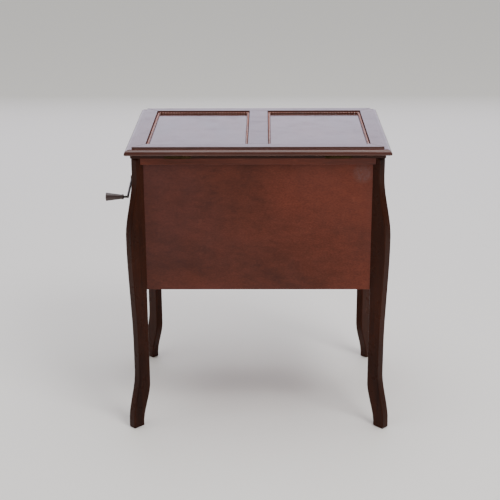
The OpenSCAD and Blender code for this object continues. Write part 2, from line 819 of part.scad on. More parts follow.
// A flat lever on a pin, pointing along +X
module flat_lever(reach, tail, width, low, pin_r) {
    translate([0, 0, low]) difference() {
        union() {
            translate([-tail, -width / 2, 0]) cube([reach + tail, width, 3]);
            translate([-tail, 0, 0]) cylinder(r = width * 0.7, h = 6);
            cylinder(r = width * 0.8, h = 3);
        }
        translate([0, 0, -1]) cylinder(r = pin_r + run_fit, h = 10);
    }
}

lever_pin_r = 2;
brake_at = [partition_x - 23, front_in - 24];
speed_at = [-(inner_x - 30), front_in - 26];
lever_low = deck_z + 3.5;

// Pins that the levers turn on, and the plate under the speed lever
module lever_posts() {
    color(brass) in_frame() {
        for (p = [brake_at, speed_at]) translate([p[0], p[1], deck_z]) {
            cylinder(r = 5, h = lever_low - deck_z - part_gap);
            cylinder(r = lever_pin_r, h = lever_low - deck_z + 4);
        }
        translate([speed_at[0], speed_at[1], deck_z]) cylinder(r = 12, h = 1.2);
    }
}

module brake_lever() {
    dx = turn_x - brake_at[0];
    dy = turn_y - brake_at[1];
    reach = sqrt(dx * dx + dy * dy) - platter_r - 1.5;
    color(nickel) in_frame() translate([brake_at[0], brake_at[1], 0])
        rotate([0, 0, atan2(dy, dx)]) flat_lever(reach, 14, 8, lever_low, lever_pin_r);
}

module speed_lever() {
    color(nickel) in_frame() translate([speed_at[0], speed_at[1], 0])
        rotate([0, 0, -60]) flat_lever(16, 5, 6, lever_low, lever_pin_r);
}

// Folded horn: a conduit from the tonearm that opens into a flat flare
module horn() {
    color(pale_ply) in_frame() difference() {
        union() {
            horn_flare(0);
            translate([arm_x, arm_y, horn_back_z[1] - 5])
                cylinder(r = conduit_r, h = deck_low - horn_back_z[1] + 5);
        }
        horn_flare(horn_wall);
        translate([arm_x, arm_y, horn_back_z[1] - 10])
            cylinder(r = conduit_r - horn_wall, h = deck_low - horn_back_z[1] + 11);
    }
}

// The flare, thinner by the wall all round and open at its mouth
module horn_flare(wall) {
    hull() {
        translate([arm_x - horn_back / 2 + wall, arm_y - horn_back / 2 + wall, horn_back_z[0] + wall])
            cube([horn_back - 2 * wall, horn_back - 2 * wall, horn_back_z[1] - horn_back_z[0] - 2 * wall]);
        translate([mouth_x[0] + wall, mouth_y - 1, mouth_z[0] + wall])
            cube([mouth_x[1] - mouth_x[0] - 2 * wall, wall > 0 ? 2 : 1, mouth_z[1] - mouth_z[0] - 2 * wall]);
    }
}

// Cloth stretched behind the grille
module grille_cloth() {
    color(cloth_gold) in_frame()
        translate([mouth_x[0], mouth_y, mouth_z[0]])
            cube([mouth_x[1] - mouth_x[0], cloth_t, mouth_z[1] - mouth_z[0]]);
}

// Slatted board in front of the horn
module horn_grille() {
    wide = mouth_x[1] - mouth_x[0] - 2 * horn_wall;
    tall = mouth_z[1] - mouth_z[0] - 2 * horn_wall;
    pitch = wide / slat_count;
    slot_x = mouth_x[0] + horn_wall + slat_w / 2;
    color(mahogany) in_frame() difference() {
        translate([-inner_x + 4, grille_y, floor_top])
            cube([partition_x + inner_x - 4, grille_t, deck_low - floor_top]);
        for (i = [0:slat_count - 1])
            translate([slot_x + i * pitch, grille_y - 1, mouth_z[0] + horn_wall])
                cube([pitch - slat_w, grille_t + 2, tall]);
    }
}

module well_floor() {
    color(pale_ply) in_frame()
        inside_board(partition_x + board_t, inner_x, front_in, well_z - panel_t, well_z);
}

// Upright boards that keep records on edge behind the right-hand door
module record_dividers() {
    low_x = partition_x + board_t;
    step = (inner_x - low_x) / 3;
    color(pale_ply) in_frame() for (i = [1, 2])
        translate([low_x + i * step - divider_t / 2, -inner_y, floor_top])
            cube([divider_t, inner_y + front_in - 4, well_z - panel_t - floor_top]);
}

module tray_runners() {
    color(mahogany) in_frame() for (x = [partition_x + board_t, inner_x - runner_w])
        translate([x, -inner_y + chamfer, deck_low - runner_h])
            cube([runner_w, 2 * (inner_y - chamfer), runner_h]);
}

// Open tray with one cross partition
module sliding_tray() {
    length_x = tray_x1 - tray_x0;
    cell_x = (length_x - 3 * tray_wall) / 2;
    color(pale_ply) in_frame() translate([tray_x0, tray_y1 - tray_d, tray_low]) difference() {
        cube([length_x, tray_d, tray_h]);
        for (i = [0, 1]) translate([tray_wall + i * (cell_x + tray_wall), tray_wall, tray_wall])
            cube([cell_x, tray_d - 2 * tray_wall, tray_h]);
    }
}

leg_back_left();
leg_back_right();
leg_front_left();
leg_front_right();
back_panel();
side_panel_left();
side_panel_right();
front_top_rail();
front_bottom_rail();
case_floor();
centre_partition();
frieze_moulding();
cornice_frame();
lid_rails();
lid_stiles();
lid_muntin();
lid_panels();
lid_beading();
lid_hinge_leaves();
case_hinge_leaves();
lid_stay();
stay_guide();
door_left_frame();
door_left_panel();
door_left_knob();
door_left_leaves();
door_right_frame();
door_right_panel();
door_right_knob();
door_right_leaves();
post_hinge_leaves();
deck_board();
deck_screws();
turntable_platter();
turntable_felt();
turntable_spindle();
motor_frame();
winding_gear();
spring_barrel();
governor();
winding_shaft();
crank_rod();
crank_grip();
crank_escutcheon();
tonearm_base();
tonearm();
arm_rest();
sound_box();
needle();
needle_cups();
lever_posts();
brake_lever();
speed_lever();
horn();
grille_cloth();
horn_grille();
well_floor();
record_dividers();
tray_runners();
sliding_tray();
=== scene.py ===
"""Looks of a console cabinet with a winding crank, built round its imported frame."""
import json
import math

import bmesh
import bpy
from bpy.props import FloatProperty, FloatVectorProperty, IntProperty, PointerProperty
from mathutils import Matrix, Vector


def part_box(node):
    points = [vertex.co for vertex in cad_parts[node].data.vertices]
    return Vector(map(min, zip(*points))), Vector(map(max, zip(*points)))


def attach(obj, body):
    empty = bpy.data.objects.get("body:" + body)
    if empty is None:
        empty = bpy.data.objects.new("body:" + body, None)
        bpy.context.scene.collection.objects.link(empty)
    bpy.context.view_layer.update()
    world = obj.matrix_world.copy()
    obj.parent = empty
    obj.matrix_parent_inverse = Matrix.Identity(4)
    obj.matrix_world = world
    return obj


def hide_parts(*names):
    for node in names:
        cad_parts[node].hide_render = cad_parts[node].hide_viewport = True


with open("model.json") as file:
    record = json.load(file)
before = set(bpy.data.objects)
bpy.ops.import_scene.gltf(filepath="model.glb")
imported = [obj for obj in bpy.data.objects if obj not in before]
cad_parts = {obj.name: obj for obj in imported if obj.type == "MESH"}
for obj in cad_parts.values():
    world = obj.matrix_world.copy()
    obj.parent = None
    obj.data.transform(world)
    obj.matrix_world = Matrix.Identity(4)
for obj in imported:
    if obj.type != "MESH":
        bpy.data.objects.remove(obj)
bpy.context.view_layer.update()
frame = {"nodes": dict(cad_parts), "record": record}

bl_info = {
    "name": "Console Cabinet Looks",
    "version": (1, 0, 0),
    "blender": (4, 5, 0),
    "location": "View3D > Sidebar > Cabinet",
    "description": "Wood, metal and cloth of a console cabinet with a hinged lid and a record deck",
    "category": "Object",
}

MM = 0.001
AXIS_TURNS = {"X": Matrix.Rotation(math.pi / 2, 4, "Y"), "Y": Matrix.Rotation(-math.pi / 2, 4, "X"),
              "Z": Matrix.Identity(4)}
SCREW_TURNS = (90, 210, 330)

BEAD_STRIP = 7 * MM
BEAD_FILLET = 0.9 * MM
DOOR_MARGIN = 16 * MM
FIELD_RISE = 2.6 * MM
DOOR_MOULDING = 5 * MM
HINGE_LEAF_LENGTH = 40 * MM
ESCUTCHEON_SCREW_CIRCLE = 11 * MM
NEEDLES_PER_CUP = 9
NEEDLE_LENGTH = 12 * MM
TRAY_WALL = 6 * MM
LINING_GAP = 0.4 * MM
CLOTH_HOLLOWS = 12

FLOOR_SIZE = 14
CAMERA_HEADING = math.radians(0.744)
CAMERA_ROLL = math.radians(0.29)
CAMERA_SHIFT = 0.016
LIGHTS_AIM = Vector((0.024, 0, 0.45))
WALL_TINT = (0.82, 0.79, 1.0)
SKY_ANGLE = math.radians(60)


# ---------------------------------------------------------------- settings


class WoodSettings(bpy.types.PropertyGroup):
    """Colours and edges of the wooden parts"""

    panel_red: FloatVectorProperty(
        name="Panel red", description="Lighter tone of the case panels", subtype="COLOR",
        size=3, min=0, max=1, default=(0.165, 0.040, 0.022))
    panel_dark: FloatVectorProperty(
        name="Panel dark", description="Darker tone of the case panels", subtype="COLOR",
        size=3, min=0, max=1, default=(0.062, 0.016, 0.009))
    leg_light: FloatVectorProperty(
        name="Leg light", description="Lighter tone of the legs", subtype="COLOR",
        size=3, min=0, max=1, default=(0.050, 0.0125, 0.0045))
    leg_dark: FloatVectorProperty(
        name="Leg dark", description="Darker tone of the legs", subtype="COLOR",
        size=3, min=0, max=1, default=(0.018, 0.0048, 0.0022))
    lid_light: FloatVectorProperty(
        name="Lid light", description="Lighter tone of the lid", subtype="COLOR",
        size=3, min=0, max=1, default=(0.105, 0.030, 0.017))
    lid_dark: FloatVectorProperty(
        name="Lid dark", description="Darker tone of the lid", subtype="COLOR",
        size=3, min=0, max=1, default=(0.045, 0.014, 0.009))
    edge_round: FloatProperty(
        name="Edge rounding", description="Softened width along the arrises", subtype="DISTANCE",
        unit="LENGTH", min=0.0002, max=0.003, default=0.0009)
    bead_pitch: FloatProperty(
        name="Bead pitch", description="Distance from one bead of the lid to the next", subtype="DISTANCE",
        unit="LENGTH", min=0.004, max=0.012, default=0.0068)


class MetalSettings(bpy.types.PropertyGroup):
    """Colours of the metal parts"""

    brass: FloatVectorProperty(
        name="Brass", description="Colour of the aged brass", subtype="COLOR",
        size=3, min=0, max=1, default=(0.42, 0.28, 0.12))
    nickel: FloatVectorProperty(
        name="Nickel", description="Colour of the nickel plate", subtype="COLOR",
        size=3, min=0, max=1, default=(0.60, 0.57, 0.52))
    iron: FloatVectorProperty(
        name="Iron", description="Colour of the blackened iron", subtype="COLOR",
        size=3, min=0, max=1, default=(0.045, 0.040, 0.037))
    strobe_dots: IntProperty(
        name="Rim dots", description="Number of studs round the turntable's rim", min=24, max=120, default=78)


class StageSettings(bpy.types.PropertyGroup):
    """Floor, light and camera"""

    floor: FloatVectorProperty(
        name="Floor", description="Colour of the floor", subtype="COLOR",
        size=3, min=0, max=1, default=(0.86, 0.83, 0.79))
    room: FloatVectorProperty(
        name="Room", description="Colour of the room behind the object", subtype="COLOR",
        size=3, min=0, max=1, default=(0.86, 0.89, 0.90))
    distance: FloatProperty(
        name="Distance", description="From the camera to the middle of the table, along the floor",
        subtype="DISTANCE", unit="LENGTH", min=1, max=6, default=2.878)
    eye_height: FloatProperty(
        name="Eye height", description="Height of the camera", subtype="DISTANCE", unit="LENGTH",
        min=0.3, max=3, default=1.3756)
    pitch: FloatProperty(
        name="Pitch", description="How far the camera looks down", subtype="ANGLE", unit="ROTATION",
        min=0, max=1.5, default=math.radians(19.14))
    lens: FloatProperty(
        name="Lens", description="Focal length on a 36 mm sensor", min=20, max=200, default=88.6)
    key_watts: FloatProperty(
        name="Key light", description="Power of the large light", unit="POWER", min=0, max=500, default=75)
    wall_watts: FloatProperty(
        name="Bright wall", description="Power of the light that the lid mirrors", unit="POWER",
        min=0, max=500, default=75)
    sky_strength: FloatProperty(
        name="Skylight", description="Strength of the soft light from above", min=0, max=10, default=1.8)
    room_strength: FloatProperty(
        name="Room strength", description="Brightness of the room", min=0, max=2, default=0.25)


class CabinetLooks(bpy.types.PropertyGroup):
    """All settings of the cabinet's looks"""

    wood: PointerProperty(type=WoodSettings)
    metal: PointerProperty(type=MetalSettings)
    stage: PointerProperty(type=StageSettings)


# ---------------------------------------------------------------- materials


class Nodes:
    """Short names for building a material's node tree."""

    def __init__(self, name):
        self.material = bpy.data.materials.new(name)
        self.material.use_nodes = True
        self.tree = self.material.node_tree
        self.shader = self.tree.nodes["Principled BSDF"]
        self.coords = self.add("ShaderNodeTexCoord")

    def add(self, kind, **values):
        node = self.tree.nodes.new(kind)
        for key, value in values.items():
            setattr(node, key, value)
        return node

    def link(self, out_socket, in_socket):
        self.tree.links.new(out_socket, in_socket)

    def mapped(self, scale, shift=(0, 0, 0)):
        mapping = self.add("ShaderNodeMapping")
        mapping.inputs["Scale"].default_value = scale
        mapping.inputs["Location"].default_value = shift
        self.link(self.coords.outputs["Object"], mapping.inputs["Vector"])
        return mapping.outputs["Vector"]

    def noise(self, vector, scale, detail=4, roughness=0.55, distortion=0.0):
        node = self.add("ShaderNodeTexNoise")
        node.inputs["Scale"].default_value = scale
        node.inputs["Detail"].default_value = detail
        node.inputs["Roughness"].default_value = roughness
        node.inputs["Distortion"].default_value = distortion
        self.link(vector, node.inputs["Vector"])
        return node.outputs["Fac"]

    def ramp(self, factor, stops):
        node = self.add("ShaderNodeValToRGB")
        for element, (position, colour) in zip(node.color_ramp.elements[:], (stops[0], stops[-1])):
            element.position, element.color = position, (*colour, 1)
        for position, colour in stops[1:-1]:
            element = node.color_ramp.elements.new(position)
            element.color = (*colour, 1)
        self.link(factor, node.inputs["Fac"])
        return node.outputs["Color"]

    def span(self, factor, low, high, from_low=0.0, from_high=1.0):
        node = self.add("ShaderNodeMapRange")
        node.inputs["From Min"].default_value = from_low
        node.inputs["From Max"].default_value = from_high
        node.inputs["To Min"].default_value = low
        node.inputs["To Max"].default_value = high
        self.link(factor, node.inputs["Value"])
        return node.outputs["Result"]

    def blend(self, factor, a, b, mode="MIX"):
        """Mixes two colours; factor, a and b are sockets or constants."""
        node = self.add("ShaderNodeMix", data_type="RGBA", blend_type=mode)
        for index, value in ((0, factor), (6, a), (7, b)):
            if isinstance(value, bpy.types.NodeSocket):
                self.link(value, node.inputs[index])
            elif index == 0:
                node.inputs[0].default_value = value
            else:
                node.inputs[index].default_value = (*value, 1)
        return node.outputs[2]

    def times(self, a, b, operation="MULTIPLY"):
        node = self.add("ShaderNodeMath", operation=operation)
        for socket, value in ((node.inputs[0], a), (node.inputs[1], b)):
            if isinstance(value, bpy.types.NodeSocket):
                self.link(value, socket)
            else:
                socket.default_value = value
        return node.outputs[0]

    def bump(self, height, distance, strength=1.0):
        node = self.add("ShaderNodeBump")
        node.inputs["Strength"].default_value = strength
        node.inputs["Distance"].default_value = distance
        self.link(height, node.inputs["Height"])
        self.link(node.outputs["Normal"], self.shader.inputs["Normal"])

    def finish(self, colour, roughness, **constants):
        """Colour and roughness may be sockets; every other value is a constant on the shader."""
        for socket, value in (("Base Color", colour), ("Roughness", roughness)):
            if isinstance(value, bpy.types.NodeSocket):
                self.link(value, self.shader.inputs[socket])
            elif socket == "Base Color":
                self.shader.inputs[socket].default_value = (*value, 1)
            else:
                self.shader.inputs[socket].default_value = value
        for socket, value in constants.items():
            self.shader.inputs[socket.replace("_", " ")].default_value = value
        return self.material


GRAIN_SCALE = {"X": (0.055, 1, 1), "Y": (1, 0.055, 1), "Z": (1, 1, 0.055), "cloudy X": (0.32, 1, 0.8)}


def varnished_wood(name, dark, light, grain, gloss, figure=1.0, streaks=1.0, wear=0.0, seed=0.0,
                   polish=0.0, shine=0.22, worn_at=None, painted_light_span=None):
    """Grain along one axis: broad figure, fine streaks, pores and a varnish that has aged unevenly.

    polish is the weight of a clear coat and shine the strength of the varnish's own reflection. worn_at is
    the centre and radius of a dull patch; the last argument gives the stretch of X over which painted light
    makes the colour lighter and warmer towards the high end, as if more light fell on that side.
    """
    n = Nodes(name)
    shift = (seed * 1.7, seed * 2.3, seed * 0.9)
    along = n.mapped(GRAIN_SCALE[grain], shift=shift)
    free = n.mapped((1, 1, 1), shift=shift)
    broad = n.noise(n.mapped([0.35 if s < 1 else 1 for s in GRAIN_SCALE[grain]], shift=shift), 9, 5, 0.6, 0.8)
    streak = n.span(n.noise(along, 95, 6, 0.62, 0.4), 0.5 - 0.5 * streaks, 0.5 + 0.5 * streaks)
    fibre = n.noise(along, 620, 3, 0.6)
    tone = n.times(n.span(broad, -0.25 * figure, 0.55 * figure, 0.3, 0.7), streak, "ADD")
    middle = [(a + b) / 2 for a, b in zip(dark, light)]
    colour = n.ramp(tone, [(0.25, dark), (0.55, middle), (0.95, light)])
    fine = n.span(fibre, 0.0, 1.0, 0.35, 0.65)
    colour = n.blend(1.0, colour, n.blend(fine, (0.78, 0.72, 0.70), (1.08, 1.0, 1.0)), "MULTIPLY")
    bloom = n.span(n.noise(free, 3.2, 3, 0.5), 0, 0.30, 0.42, 0.72)
    colour = n.blend(bloom, colour, [0.7 * light[0], 1.1 * light[1], 1.9 * light[2]])
    # Painted light: the colour goes from cooler and darker at the low end of the span to warmer and lighter
    # at the high end, as if more light fell on that side.
    if painted_light_span:
        across = n.add("ShaderNodeSeparateXYZ")
        n.link(n.mapped((1, 1, 1)), across.inputs["Vector"])
        painted_light_ramp = n.span(across.outputs["X"], 0, 1, *painted_light_span)
        colour = n.blend(1.0, colour, n.blend(painted_light_ramp, (0.85, 0.90, 1.0), (1.13, 1.06, 1.0)), "MULTIPLY")
    haze = n.noise(free, 21, 5, 0.6)
    roughness = n.times(n.span(haze, gloss, gloss + 0.13, 0.35, 0.7), n.span(fibre, -0.02, 0.03), "ADD")
    if wear > 0:
        scuff = n.times(n.span(n.noise(free, 34, 6, 0.7), 0, 1, 0.60, 0.72), wear)
        colour = n.blend(scuff, colour, [min(1, c * 2.6 + 0.02) for c in light])
    if worn_at:
        patch = n.add("ShaderNodeTexGradient", gradient_type="SPHERICAL")
        scale = 1 / worn_at[3]
        place = n.mapped((scale, scale, scale), shift=[-c * scale for c in worn_at[:3]])
        n.link(place, patch.inputs["Vector"])
        spots = n.span(n.noise(free, 150, 5, 0.7), 0.2, 1, 0.38, 0.66)
        rings = n.times(n.span(patch.outputs["Fac"], 0, 1, 0.0, 0.45), spots)
        colour = n.blend(n.times(rings, 0.42), colour, (0.15, 0.11, 0.11))
        roughness = n.times(roughness, n.times(rings, 0.3), "ADD")
    height = n.times(n.span(fibre, 0, 0.35, 0.3, 0.7), n.span(streak, 0, 0.65, 0.3, 0.7), "ADD")
    n.bump(height, 0.00005 if shine > 0.4 else 0.00016)
    return n.finish(colour, roughness, Coat_Weight=polish, Coat_Roughness=0.07,
                    Specular_IOR_Level=shine)


def bare_wood(name, dark, light, grain, seed=0.0):
    """Unpolished board with open grain"""
    n = Nodes(name)
    shift = (seed, seed * 1.9, seed * 0.6)
    along = n.mapped(GRAIN_SCALE[grain], shift=shift)
    rings = n.noise(along, 42, 5, 0.6, 1.2)
    fibre = n.noise(along, 480, 4, 0.65)
    stain = n.noise(n.mapped((1, 1, 1), shift=shift), 6, 4, 0.6)
    colour = n.ramp(rings, [(0.3, dark), (0.5, light), (0.75, dark)])
    colour = n.blend(n.span(fibre, 0, 0.35, 0.4, 0.7), colour, [c * 0.55 for c in dark])
    colour = n.blend(n.span(stain, 0, 0.3, 0.5, 0.75), colour, [c * 0.7 for c in dark])
    n.bump(fibre, 0.0003)
    return n.finish(colour, n.span(stain, 0.62, 0.82, 0.3, 0.7))


def plated_metal(name, colour, roughness, tarnish, brushed=None):
    """Metal with cloudy tarnish, fine scratches and, if brushed, a lay along one axis"""
    n = Nodes(name)
    free = n.mapped((1, 1, 1))
    cloud = n.noise(free, 48, 6, 0.65)
    speck = n.noise(free, 420, 3, 0.6)
    scratch = n.noise(n.mapped(GRAIN_SCALE[brushed or "X"]), 900, 2, 0.5)
    tone = n.blend(n.span(cloud, 0, tarnish, 0.42, 0.7), colour, [c * 0.35 for c in colour])
    tone = n.blend(n.span(speck, 0, tarnish * 0.7, 0.62, 0.72), tone, [c * 0.2 for c in colour])
    dull = n.span(cloud, roughness, roughness + 0.25, 0.35, 0.75)
    rough = n.times(dull, n.span(scratch, -0.04, 0.08), "ADD")
    n.bump(n.times(scratch, n.span(speck, 0, 0.5), "ADD"), 0.00004)
    return n.finish(tone, rough, Metallic=1.0)


def blackened_iron(name, colour):
    """Japanned iron, slightly pitted, with brown rubbed through at places"""
    n = Nodes(name)
    free = n.mapped((1, 1, 1))
    pits = n.noise(free, 300, 4, 0.6)
    rub = n.noise(free, 60, 5, 0.6)
    tone = n.blend(n.span(rub, 0, 0.7, 0.52, 0.72), colour, (0.10, 0.055, 0.03))
    n.bump(pits, 0.0001)
    return n.finish(tone, n.span(pits, 0.34, 0.58, 0.3, 0.7), Metallic=0.75)


def felted(name, dark, light):
    """Short-napped felt"""
    n = Nodes(name)
    free = n.mapped((1, 1, 1))
    nap = n.noise(free, 900, 4, 0.75)
    patch = n.noise(free, 26, 4, 0.6)
    colour = n.ramp(n.times(n.span(patch, -0.15, 0.25), nap, "ADD"), [(0.25, dark), (0.8, light)])
    n.bump(nap, 0.0004)
    return n.finish(colour, 0.95, Sheen_Weight=0.35, Sheen_Roughness=0.5)


def woven(name, dark, light, threads_per_metre):
    """Plain weave: two sets of threads that pass over and under"""
    n = Nodes(name)
    height = None
    for axis in ("X", "Z"):
        wave = n.add("ShaderNodeTexWave", wave_type="BANDS", bands_direction=axis, wave_profile="SIN")
        wave.inputs["Scale"].default_value = threads_per_metre / 6.2832 * 0.5
        wave.inputs["Distortion"].default_value = 0.25
        wave.inputs["Detail"].default_value = 2
        n.link(n.mapped((1, 1, 1)), wave.inputs["Vector"])
        height = wave.outputs["Fac"] if height is None else n.times(height, wave.outputs["Fac"])
    slub = n.noise(n.mapped((1, 1, 0.2)), 160, 4, 0.6)
    colour = n.ramp(n.times(height, n.span(slub, 0.7, 1.3), "MULTIPLY"), [(0.0, dark), (0.6, light)])
    n.bump(height, 0.0005)
    return n.finish(colour, 0.88, Sheen_Weight=0.2)


MATERIALS = {}


def make_materials(looks):
    """Every finish of the cabinet, by name"""
    w, m = looks.wood, looks.metal
    back_low, back_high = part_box("back_panel")
    worn_at = (back_high.x - 22 * MM, back_low.y, back_high.z - 38 * MM, 26 * MM)
    panel, leg, lid = (w.panel_dark, w.panel_red), (w.leg_dark, w.leg_light), (w.lid_dark, w.lid_light)
    made = {
        # The back veneer gets painted light along X: darker at the left, lighter and warmer towards the
        # right.
        "back_veneer": varnished_wood(
            "back_veneer", *panel, "cloudy X", 0.36, figure=0.6, streaks=0.55, wear=0.10, seed=3.1,
            worn_at=worn_at, painted_light_span=(back_low.x, 0.6 * back_high.x)),
        "side_veneer": varnished_wood(
            "side_veneer", *panel, "Y", 0.34, figure=0.5, streaks=0.5, wear=0.06, seed=1.4),
        "rail_wood": varnished_wood("rail_wood", *panel, "X", 0.32, wear=0.08, seed=5.2),
        "stile_wood": varnished_wood("stile_wood", *panel, "Z", 0.32, wear=0.05, seed=7.7),
        "cross_wood": varnished_wood("cross_wood", *panel, "Y", 0.34, wear=0.05, seed=4.9),
        "leg_wood": varnished_wood(
            "leg_wood", *leg, "Z", 0.24, figure=0.8, wear=0.12, seed=2.2, shine=0.09),
        # Painted shade: the legs' dark tones are given to parts that sit in shade, the cornice frame under
        # the lid's lip and the sunk strips round the lid's beads.
        "shadow_wood": varnished_wood(
            "shadow_wood", *leg, "X", 0.28, figure=0.8, wear=0.06, seed=6.1, shine=0.18),
        "lid_wood_x": varnished_wood(
            "lid_wood_x", *lid, "X", 0.13, figure=0.5, streaks=0.6, seed=8.3, polish=0.12, shine=0.5),
        "lid_wood_y": varnished_wood(
            "lid_wood_y", *lid, "Y", 0.13, figure=0.5, streaks=0.6, seed=9.6, polish=0.12, shine=0.5),
        "lid_veneer": varnished_wood(
            "lid_veneer", *lid, "Y", 0.11, figure=0.8, streaks=0.6, seed=0.7, polish=0.25, shine=0.5),
        # Painted highlight: the beads run from the lid's light tone up to 3.2 times as light, standing in for
        # the bright reflections on their tops.
        "bead_highlight_wood": varnished_wood(
            "bead_highlight_wood", w.lid_light, [3.2 * c for c in w.lid_light], "X", 0.16, seed=1.9,
            polish=0.8, shine=0.8),
        "grip_wood": varnished_wood(
            "grip_wood", (0.040, 0.020, 0.016), (0.105, 0.060, 0.050), "X", 0.26, streaks=0.6, wear=0.2,
            seed=2.8, polish=0.3, shine=0.4),
        "board_x": bare_wood("board_x", (0.24, 0.13, 0.06), (0.42, 0.27, 0.14), "X", 1.0),
        "board_y": bare_wood("board_y", (0.25, 0.14, 0.065), (0.43, 0.28, 0.15), "Y", 2.0),
        "brass": plated_metal("brass", list(m.brass), 0.26, 0.75),
        "dark_brass": plated_metal("dark_brass", [c * 0.45 for c in m.brass], 0.36, 0.8),
        # Painted shade: bronze at about an eighth of the brass's colour, so that the lid's hinges read as
        # sitting in the shade under the lid's lip.
        "shade_dark_bronze": plated_metal("shade_dark_bronze", [c * 0.13 for c in m.brass], 0.42, 0.8),
        "nickel": plated_metal("nickel", list(m.nickel), 0.16, 0.35),
        "worn_nickel": plated_metal("worn_nickel", [c * 0.8 for c in m.nickel], 0.26, 0.65, "X"),
        "spring_steel": plated_metal("spring_steel", [c * 0.55 for c in m.nickel], 0.34, 0.6, "X"),
        "iron": blackened_iron("iron", list(m.iron)),
        "felt": felted("felt", (0.012, 0.030, 0.013), (0.050, 0.105, 0.045)),
        "tray_felt": felted("tray_felt", (0.060, 0.010, 0.012), (0.17, 0.035, 0.035)),
        "grille_cloth": woven("grille_cloth", (0.10, 0.06, 0.025), (0.42, 0.29, 0.13), 1100),
        "diaphragm": plated_metal("diaphragm", (0.35, 0.33, 0.30), 0.4, 0.5),
    }
    MATERIALS.update(made)


# ---------------------------------------------------------------- mesh helpers


def body_of_node(node):
    """Name of the body that holds a node"""
    groups = frame["record"]["behaviour"]["bodies"]
    return next(body for body, nodes in groups.items() if node in nodes)


def paint_node(material, *nodes):
    """Gives CAD nodes that are shown as they are a finish."""
    for node in nodes:
        data = frame["nodes"][node].data
        data.materials.clear()
        data.materials.append(MATERIALS[material])


def crease(bm, angle=35):
    """Smooth faces, with sharp edges where they meet at more than the angle"""
    limit = math.radians(angle)
    for face in bm.faces:
        face.smooth = True
    for edge in bm.edges:
        edge.smooth = len(edge.link_faces) == 2 and edge.calc_face_angle(0) < limit


def make_piece(name, bm, material, body, replaces=(), sharp=35):
    """Turns a bmesh into a finished piece that rides on a body."""
    crease(bm, sharp)
    mesh = bpy.data.meshes.new(name)
    bm.to_mesh(mesh)
    bm.free()
    mesh.materials.append(MATERIALS[material])
    piece = bpy.data.objects.new(name, mesh)
    bpy.context.scene.collection.objects.link(piece)
    even = piece.modifiers.new("flat_faces_stay_flat", "WEIGHTED_NORMAL")
    even.keep_sharp = True
    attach(piece, body)
    if replaces:
        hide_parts(*replaces)
    return piece


def merged_copy(node):
    """A bmesh of a CAD node with its doubles merged and its flat faces whole"""
    bm = bmesh.new()
    bm.from_mesh(frame["nodes"][node].data)
    bmesh.ops.remove_doubles(bm, verts=bm.verts, dist=0.00002)
    bmesh.ops.dissolve_limit(bm, angle_limit=math.radians(0.6), verts=bm.verts, edges=bm.edges)
    return bm


def soften(bm, width, angle=32, segments=3):
    """Rounds every edge sharper than the angle."""
    sharp = [e for e in bm.edges if len(e.link_faces) == 2 and e.calc_face_angle(0) > math.radians(angle)]
    bmesh.ops.bevel(bm, geom=sharp, offset=width, offset_type="OFFSET", segments=segments, profile=0.5,
                    affect="EDGES", clamp_overlap=True, material=-1)


def softened_node(node, material, width, name=None):
    """A copy of a CAD node with rounded arrises, shown in its place"""
    bm = merged_copy(node)
    soften(bm, width)
    return make_piece(name or node + "_wood", bm, material, body_of_node(node), (node,))


def add_turned(bm, profile, centre, axis="Z", steps=32):
    """Spins an outline of (radius, height) points about an axis through the centre."""
    part = bmesh.new()
    verts = [part.verts.new((r, 0, z)) for r, z in profile]
    edges = [part.edges.new(pair) for pair in zip(verts, verts[1:])]
    bmesh.ops.spin(part, geom=verts + edges, cent=(0, 0, 0), axis=(0, 0, 1), angle=math.tau, steps=steps,
                   use_merge=True)
    bmesh.ops.remove_doubles(part, verts=part.verts, dist=0.000005)
    bmesh.ops.recalc_face_normals(part, faces=part.faces)
    bmesh.ops.transform(part, matrix=Matrix.Translation(centre) @ AXIS_TURNS[axis], verts=part.verts)
    join_into(bm, part)


def join_into(bm, part):
    """Adds one bmesh to another and frees it."""
    mesh = bpy.data.meshes.new("part")
    part.to_mesh(mesh)
    part.free()
    bm.from_mesh(mesh)
    bpy.data.meshes.remove(mesh)


def add_block(bm, low, high, round_by=0.0, segments=2):
    """A box between two corners, with rounded edges"""
    low, high = Vector(low), Vector(high)
    part = bmesh.new()
    bmesh.ops.create_cube(part, size=1)
    size = high - low
    bmesh.ops.scale(part, vec=size, verts=part.verts)
    bmesh.ops.translate(part, vec=(low + high) / 2, verts=part.verts)
    if round_by > 0:
        bmesh.ops.bevel(part, geom=part.edges[:], offset=round_by, offset_type="OFFSET", segments=segments,
                        profile=0.5, affect="EDGES", clamp_overlap=True, material=-1)
    join_into(bm, part)


